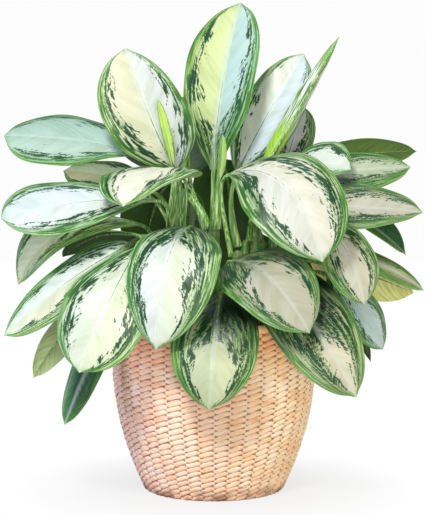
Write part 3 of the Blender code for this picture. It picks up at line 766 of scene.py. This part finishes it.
def blade(bm, layers, row, seed, tints):
    """The blade: a grid laid on the midrib, folded, curled and waved, then given its thickness."""
    veins, margin, silver_and_painted_light, under_tint, look = layers
    left, right, beneath = (Vector(linear(code)[:3]) for code in tints[:3])
    ribs, up = midrib(row)
    length = (row.tip - row.join).length
    # the stations lie closer together near the blade's two ends
    shares = []
    for i in range(ALONG + 1):
        t = i / ALONG
        shares.append(0.5 * t + 0.5 * (0.5 - 0.5 * math.cos(math.pi * t)))
    points = [bezier(*ribs, t) for t in shares]
    turned_frames = frames(points, up, 0)
    grid = bmesh.ops.create_grid(bm, x_segments=ACROSS, y_segments=ALONG, size=1)["verts"]
    for vert in grid:
        u = math.copysign(abs(vert.co.x) ** EDGE_CROWD, vert.co.x)
        station = round((vert.co.y + 1) / 2 * ALONG)
        share = shares[station]
        normal, side = turned_frames[station]
        turn = 1 if u > 0 else -1
        half = row.width / 2 * (1 - turn * row.lean) * spread(share, row.full - turn * row.skew)
        half = max(half, LEAST_HALF)
        across, lift = section(abs(u), row)
        wave = math.sin(2 * math.pi * (WAVES * share + WAVE_SHIFT * seed + (WAVE_LAG if u > 0 else 0)))
        lift += WAVE_HIGH * abs(u) ** 3 * wave * min(1, 4 * share, 4 * (1 - share)) - ROLL_UNDER * u**4
        groove = GROOVE_DEEP * math.exp(-(u * half / GROOVE_WIDE) ** 2) * (1 - share)
        vert.co = (points[station] + side * math.copysign(across * half, u)
                   + normal * (lift * half + BLADE_T / 2 - groove))
        vein = share * length - half * (VEIN_SWEEP * abs(u) + VEIN_SWEEP * abs(u) ** 3)
        # each half of each leaf has streaks of its own
        vert[veins] = Vector((u * half, vein, seed * 1.7 + (0.9 if u > 0 else 0)))
        vert[margin] = Vector((abs(u), (1 - abs(u)) * half, share))
        # painted light: each half's silver differs as the light falls on it, and the two blend across the
        # midrib
        rightward = min(1, max(0, 0.5 + u * half / TINT_BLEND))
        vert[silver_and_painted_light] = left.lerp(right, rightward)
        vert[under_tint] = beneath
        vert[look] = Vector((tints.reach, tints.stripes, tints.base))
    bmesh.ops.remove_doubles(bm, verts=grid, dist=WELD)
    top = list(bm.faces)
    if top[len(top) // 2].normal.dot(turned_frames[ALONG // 2][0]) < 0:
        bmesh.ops.reverse_faces(bm, faces=top)
    bmesh.ops.solidify(bm, geom=top, thickness=BLADE_T)
    upper = set(top)
    for face in bm.faces:
        if face not in upper:
            face.material_index = 1


def stalk(bm, row):
    """The petiole and, carrying on under the blade, its midrib."""
    curve = petiole(row)
    ribs, up = midrib(row)
    points = [bezier(*curve, i / STALK_RINGS) for i in range(STALK_RINGS)]
    points += [bezier(*ribs, i / RIB_RINGS) for i in range(RIB_RINGS)]
    rings = []
    for i, (point, (normal, side)) in enumerate(zip(points, frames(points, up, STALK_RINGS))):
        if i < STALK_RINGS:
            t = i / STALK_RINGS
            radius = SHEATH_R + (PETIOLE_R - SHEATH_R) * min(1.0, t * SHEATH_FADE)
            wing = 1 + WING * max(0.0, 1 - t * WING_FADE)
            rings.append((point, side, normal, radius * wing, radius * STALK_FLAT))
        else:
            k = i - STALK_RINGS
            radius = PETIOLE_R * (1 - k / RIB_RINGS) ** RIB_TAPER * RIB_START + RIB_END_R
            sunk = min(1, k / 2)
            drop = sunk * radius * RIB_SUNK + (1 - sunk) * RIB_LIP
            rings.append((point - normal * drop, side, normal, radius, radius * STALK_FLAT))
    old = set(bm.faces)
    roll(bm, rings, 10)
    for face in bm.faces:
        if face not in old:
            face.material_index = 2


# Variegated blade. The middle is silver-cream. Outside it, ragged dark green streaks sweep from the midrib to
# the tip, nearly along the margin, over pale green. The edge is a thin bright green. The skin is waxy.
silver, tree, shader = finish("waxy_silver_green_leaf", 0.42)
veins = put(tree, "Attribute", attribute_name="veins")
margin = put(tree, "Attribute", attribute_name="margin")
tint = put(tree, "Attribute", attribute_name="silver_and_painted_light")
look = put(tree, "Attribute", attribute_name="look")
vein = put(tree, "SeparateXYZ", {0: veins["Vector"]})
edge = put(tree, "SeparateXYZ", {0: margin["Vector"]})
own = put(tree, "SeparateXYZ", {0: look["Vector"]})
inward = put(tree, "Math", {0: 1.0, 1: edge["X"]}, operation="SUBTRACT")
later = put(tree, "MapRange", {0: edge["Z"], 1: 0.0, 2: 0.62, 3: 0.35, 4: 0.95})
flow = put(tree, "Math", {0: inward[0], 1: later[0]}, operation="MULTIPLY")
# teeth 4 mm apart, laid along the side veins, that fray the streaks
toothed = put(tree, "Mapping", {"Vector": veins["Vector"], "Scale": (60, 250, 1)})
teeth = put(tree, "TexNoise", {"Vector": toothed[0], "Scale": 1.0, "Detail": 2.0, "Roughness": 0.6})
fray = put(tree, "MapRange", {0: teeth[0], 1: 0.25, 2: 0.75, 3: 0.90, 4: 1.10})
frayed = put(tree, "Math", {0: flow[0], 1: fray[0]}, operation="MULTIPLY")
apart = put(tree, "Math", {0: vein["Z"], 1: 7.3}, operation="MULTIPLY")
# the streaks thin out towards the midrib, further in on some leaves than on others
wander = put(tree, "Mapping", {"Vector": veins["Vector"], "Scale": (14, 24, 1), "Location": (5, 3, 0)})
drift = put(tree, "TexNoise", {"Vector": wander[0], "Scale": 1.0, "Detail": 1.0})
ends = put(tree, "Math", {0: own["Z"], 1: 0.70}, operation="MULTIPLY")
full = put(tree, "Math", {0: ends[0], 1: 0.40}, operation="SUBTRACT")
basal = put(tree, "MapRange", {0: edge["Z"], 1: ends[0], 2: full[0], 3: 0.0, 4: 1.0})
reach = put(tree, "Math", {0: basal[0], 1: own["Z"], 2: own["X"]}, operation="MULTIPLY_ADD")
moved = put(tree, "Math", {0: drift[0], 1: 0.34, 2: reach[0]}, operation="MULTIPLY_ADD")
placed = put(tree, "Math", {0: frayed[0], 1: moved[0]}, operation="SUBTRACT")
# lines 3 mm apart near the margin, and blots 6 mm across and 25 mm long further in
across = put(tree, "Math", {0: frayed[0], 1: 27.0}, operation="MULTIPLY")
down = put(tree, "Math", {0: edge["Z"], 1: 5.0}, operation="MULTIPLY")
laid = put(tree, "CombineXYZ", {0: across[0], 1: down[0], 2: apart[0]})
streak = put(tree, "TexNoise", {"Vector": laid[0], "Scale": 1.0, "Detail": 1.0})
wide = put(tree, "Math", {0: frayed[0], 1: 11.0}, operation="MULTIPLY")
short = put(tree, "Math", {0: edge["Z"], 1: 10.0}, operation="MULTIPLY")
spaced = put(tree, "CombineXYZ", {0: wide[0], 1: short[0], 2: apart[0]})
blot = put(tree, "TexNoise", {"Vector": spaced[0], "Scale": 1.0, "Detail": 2.0})
within = put(tree, "MapRange", {0: placed[0], 1: -0.22, 2: 0.02, 3: 0.15, 4: 0.65})
marks = put(tree, "Mix", {0: within[0], 2: streak[0], 3: blot[0]})
thin = put(tree, "MapRange", {0: placed[0], 1: -0.05, 2: 0.25, 3: -0.02, 4: 0.26})
bite = put(tree, "MapRange", {0: placed[0], 1: -0.25, 2: 0.05, 3: 0.10, 4: 0.50})
comb = put(tree, "Math", {0: teeth[0], 1: 0.5}, operation="SUBTRACT")
bitten = put(tree, "Math", {0: comb[0], 1: bite[0], 2: marks[0]}, operation="MULTIPLY_ADD")
level = put(tree, "Math", {0: bitten[0], 1: thin[0]}, operation="SUBTRACT")
dark = put(tree, "MapRange", {0: level[0], 1: 0.482, 2: 0.520, 3: 0.0, 4: 1.0})
# under the streaks the silver turns pale green outwards, in lines 1.5 mm apart
fine = put(tree, "Math", {0: flow[0], 1: 50.0}, operation="MULTIPLY")
hair = put(tree, "CombineXYZ", {0: fine[0], 1: down[0], 2: apart[0]})
line = put(tree, "TexNoise", {"Vector": hair[0], "Scale": 1.0, "Detail": 1.0})
pale = put(tree, "ValToRGB", {0: line[0]}, stops=(
    (0.36, "#5c9148"), (0.46, "#9cc67f"), (0.54, "#cbe4b4"), (0.66, "#f0f9e2")))
toned = put(tree, "Mix", {0: 1.0, 6: pale[0], 7: tint["Color"]}, **TINTING)
outer = put(tree, "MapRange", {0: placed[0], 1: -0.02, 2: -0.26, 3: 0.0, 4: 0.95})
ground = put(tree, "Mix", {0: outer[0], 6: tint["Color"], 7: toned[2]}, data_type="RGBA")
# faint sage clouds, 20 mm wide, along the side veins
clouded = put(tree, "Mapping", {"Vector": veins["Vector"], "Scale": (22, 55, 1), "Location": (0, 0, 9)})
cloud = put(tree, "TexNoise", {"Vector": clouded[0], "Scale": 1.0, "Detail": 3.0})
sage = put(tree, "ValToRGB", {0: cloud[0]}, stops=((0.35, "#d3dac4"), (0.62, "#ffffff")))
misted = put(tree, "Mix", {0: 0.45, 6: ground[2], 7: sage[0]}, **TINTING)
deep = put(tree, "ValToRGB", {0: level[0]}, stops=(
    (0.485, "#5f8450"), (0.515, "#2f5c37"), (0.62, "#1c4127")))
bright = put(tree, "ValToRGB", {0: level[0]}, stops=(
    (0.485, "#86b95c"), (0.53, "#5a9440"), (0.65, "#3f7a33")))
vivid = put(tree, "MapRange", {0: edge["Y"], 1: 16 * MM, 2: 3 * MM, 3: 0.0, 4: 0.8})
greens = put(tree, "Mix", {0: vivid[0], 6: deep[0], 7: bright[0]}, data_type="RGBA")
streaked = put(tree, "Mix", {0: dark[0], 6: misted[2], 7: greens[2]}, data_type="RGBA")
rim = put(tree, "MapRange", {0: edge["Y"], 1: 1.5 * MM, 2: 0.6 * MM, 3: 0.0, 4: 0.8})
edged = put(tree, "Mix", {0: rim[0], 6: streaked[2], 7: "#639a48"}, data_type="RGBA")
end = put(tree, "MapRange", {0: edge["Z"], 1: 0.95, 2: 1.0, 3: 0.0, 4: 0.6})
tipped = put(tree, "Mix", {0: end[0], 6: edged[2], 7: "#6fa047"}, data_type="RGBA")
# the midrib is a soft pale band, its cool blue a painted sheen, that narrows to the tip, with a thin olive
# crease along it
beside = put(tree, "Math", {0: vein["X"]}, operation="ABSOLUTE")
narrow = put(tree, "MapRange", {0: edge["Z"], 1: 0.0, 2: 1.0, 3: 5.5 * MM, 4: 1.5 * MM})
near = put(tree, "Math", {0: beside[0], 1: narrow[0]}, operation="DIVIDE")
band = put(tree, "MapRange", {0: near[0], 1: 1.6, 2: 0.2, 3: 0.0, 4: 0.5}, interpolation_type="SMOOTHSTEP")
painted_rib_sheen = put(tree, "Mix", {0: 0.4, 6: tint["Color"], 7: "#e6eef6"}, data_type="RGBA")
banded = put(tree, "Mix", {0: band[0], 6: tipped[2], 7: painted_rib_sheen[2]}, data_type="RGBA")
thread = put(tree, "MapRange", {0: beside[0], 1: 1.3 * MM, 2: 0.2 * MM, 3: 0.0, 4: 0.22})
ribbed = put(tree, "Mix", {0: thread[0], 6: banded[2], 7: "#98a37c"}, data_type="RGBA")
# the base of some leaves is a deep blue-green, most on the left half, where their neighbours have shaded it
half = put(tree, "MapRange", {0: vein["X"], 1: -8 * MM, 2: 14 * MM, 3: 1.0, 4: 0.5})
below = put(tree, "Math", {0: basal[0], 1: own["Z"]}, operation="MULTIPLY")
sunless = put(tree, "Math", {0: below[0], 1: half[0]}, operation="MULTIPLY")
based = put(tree, "Mix", {0: sunless[0], 6: ribbed[2], 7: "#2c4c52"}, **TINTING)
# the side veins quilt the blade about every 12 mm, not quite evenly
sway = put(tree, "Math", {0: drift[0], 1: 9.0}, operation="MULTIPLY")
quilt = put(tree, "Math", {0: vein["Y"], 1: 2 * math.pi / VEIN_PITCH, 2: sway[0]}, operation="MULTIPLY_ADD")
wavy = put(tree, "Math", {0: quilt[0]}, operation="SINE")
quilted = put(tree, "Bump", {"Strength": 0.12, "Distance": 0.8 * MM, "Height": wavy[0]})
dress(tree, shader, based[2], quilted[0])
shader.inputs["Specular IOR Level"].default_value = 0.35

# Underside: plain, from light green to lime on the youngest leaves, with faint side veins and a duller skin.
under, tree, shader = finish("plain_green_underside", 0.5)
veins = put(tree, "Attribute", attribute_name="veins")
tint = put(tree, "Attribute", attribute_name="under_tint")
vein = put(tree, "SeparateXYZ", {0: veins["Vector"]})
quilt = put(tree, "Math", {0: vein["Y"], 1: 2 * math.pi / VEIN_PITCH}, operation="MULTIPLY")
wavy = put(tree, "Math", {0: quilt[0]}, operation="SINE")
laid = put(tree, "Mapping", {"Vector": veins["Vector"], "Scale": (60, 220, 1)})
mottle = put(tree, "TexNoise", {"Vector": laid[0], "Scale": 1.0, "Detail": 2.0})
blend = put(tree, "Math", {0: wavy[0], 1: 0.05, 2: mottle[0]}, operation="MULTIPLY_ADD")
shade = put(tree, "ValToRGB", {0: blend[0]}, stops=((0.3, "#c9d8bd"), (0.6, "#ffffff")))
dull = put(tree, "Mix", {0: 0.8, 6: tint["Color"], 7: shade[0]}, **TINTING)
# an unfurling leaf is striped silver and green past the part that look.Y says
margin = put(tree, "Attribute", attribute_name="margin")
look = put(tree, "Attribute", attribute_name="look")
edge = put(tree, "SeparateXYZ", {0: margin["Vector"]})
own = put(tree, "SeparateXYZ", {0: look["Vector"]})
fine = put(tree, "Math", {0: vein["X"], 1: 600.0}, operation="MULTIPLY")
down = put(tree, "Math", {0: edge["Z"], 1: 6.0}, operation="MULTIPLY")
hair = put(tree, "CombineXYZ", {0: fine[0], 1: down[0], 2: vein["Z"]})
line = put(tree, "TexNoise", {"Vector": hair[0], "Scale": 1.0, "Detail": 1.0})
stripe = put(tree, "ValToRGB", {0: line[0]}, stops=(
    (0.40, "#3f7a3a"), (0.48, "#8fb573"), (0.54, "#cfdccd"), (0.66, "#dfe8ee")))
past = put(tree, "Math", {0: edge["Z"], 1: own["Y"]}, operation="SUBTRACT")
silvered = put(tree, "MapRange", {0: past[0], 1: -0.06, 2: 0.10, 3: 0.0, 4: 1.0})
young = put(tree, "Mix", {0: silvered[0], 6: dull[2], 7: stripe[0]}, data_type="RGBA")
green_end = put(tree, "MapRange", {0: past[0], 1: 0.42, 2: 0.52, 3: 0.0, 4: 0.8})
ended = put(tree, "Mix", {0: green_end[0], 6: young[2], 7: "#79ad45"}, data_type="RGBA")
raised = put(tree, "Bump", {"Strength": 0.15, "Distance": 0.6 * MM, "Height": wavy[0]})
dress(tree, shader, ended[2], raised[0])

# Petiole: smooth, waxy light green, in long streaks of darker and paler green.
waxy, tree, shader = finish("waxy_green_petiole", 0.35)
place = put(tree, "TexCoord")
long = put(tree, "Mapping", {"Vector": place["Object"], "Scale": (500, 500, 16)})
streak = put(tree, "TexNoise", {"Vector": long[0], "Scale": 1.0, "Detail": 2.0})
light = put(tree, "ValToRGB", {0: streak[0]}, stops=((0.35, "#3f6e2c"), (0.5, "#6c9e48"), (0.68, "#c0d892")))
dress(tree, shader, light[0])

# Each leaf's silver on its left and right halves, which differ by painted light, its underside, how far in
# its streaks come, how much further at the base and how deep the painted shade there is, and on a leaf still
# unfurling the share of its length where its silver stripes start.
Tint = namedtuple("Tint", "left right under reach base stripes", defaults=("#7ea557", 0.22, 0.0, 2.0))
# painted shade: the plain leaves' underside is darkened to stand in for the shade inside the plant
PLAIN_SILVER = Tint("#d3dcc0", "#d3dcc0", "#44682e")
# painted light: a4's and f9's tints are made brighter on leaves that lie in shade; painted shade: c3's silver
# is made darker
TINTS = {
    "a1": Tint("#cdd8a6", "#c8d6ac", reach=0.30), "a2": Tint("#d4dfe2", "#cddce4", reach=0.20),
    "a3": Tint("#aecbbf", "#a4c6bc", "#9cc289", 0.16), "a4": Tint("#f0efb8", "#dcefc4", "#9cc289"),
    "a5": Tint("#d9dcc2", "#d2dadc", reach=0.15), "a6": Tint("#b7cf98", "#b7cf98", "#b4cc96", 0.05),
    "a8": Tint("#b5dc5c", "#c5e06c", "#b5dc5c", 0.0), "b1": Tint("#d3d9c2", "#cbd9d8", reach=0.26),
    "b2": Tint("#d6dfc4", "#d0dbce", reach=0.24), "b3": Tint("#d3dbc8", "#d5dee0", reach=0.28, base=0.6),
    "b4": Tint("#e0e2cc", "#dcdfce", "#a9c07c", 0.34), "b5": Tint("#3f6258", "#3f6258", reach=0.7),
    "c1": Tint("#c8d0aa", "#bfcbaa", reach=0.26, base=1.0),
    "c2": Tint("#b1b29e", "#b6b7a5", reach=0.24, base=0.7),
    "c3": Tint("#cfccb4", "#c6c5ae", reach=0.47, base=1.0), "c4": Tint("#d5d6c8", "#d2d5ce", reach=0.26),
    "d1": Tint("#c4c3ad", "#c4c6b4", reach=0.32), "d2": Tint("#bebdac", "#b9b8a8", reach=0.40),
    "d3": Tint("#9ba37c", "#9ba37c", "#7d9a58", 0.40), "d4": Tint("#bcd4d4", "#b0cfce", reach=0.30),
    "d5": Tint("#37702f", "#37702f", "#3f7a30", 0.9), "d6": Tint("#d0dcd2", "#c8d8cc", reach=0.28),
    "e1": Tint("#c6d49a", "#b4d0cc", "#7fb04a", 0.20, 0.55), "e5": Tint("#93bb4c", "#93bb4c", "#93bb4c", 0.0),
    "f1": Tint("#d6dcd2", "#c9d9e4", reach=0.16), "f2": Tint("#c9d8c4", "#c9d8c4", "#a5d44a", stripes=0.30),
    "f3": Tint("#c8cac6", "#c8cac6", reach=0.36), "f4": Tint("#9fbb78", "#9fbb78", "#74954c"),
    "f5": Tint("#b4c2a6", "#acbc9c", reach=0.46), "f9": Tint("#fbfba8", "#fbfba8", "#fbfba8", 0.0),
    "g5": Tint("#b5dc5c", "#b5dc5c", "#b5dc5c", 0.0), "g6": Tint("#6f8f50", "#6f8f50", "#4d7334", 0.4),
}
for seed, (name, row) in enumerate(LEAVES.items()):
    bm, layers = carrying("veins", "margin", "silver_and_painted_light", "under_tint", "look")
    blade(bm, layers, row, seed, TINTS.get(name.split("_")[1], PLAIN_SILVER))
    stalk(bm, row)
    piece(name.replace("leaf_", "blade_"), bm, [silver, under, waxy], "leaf", name)


bpy.context.view_layer.update()
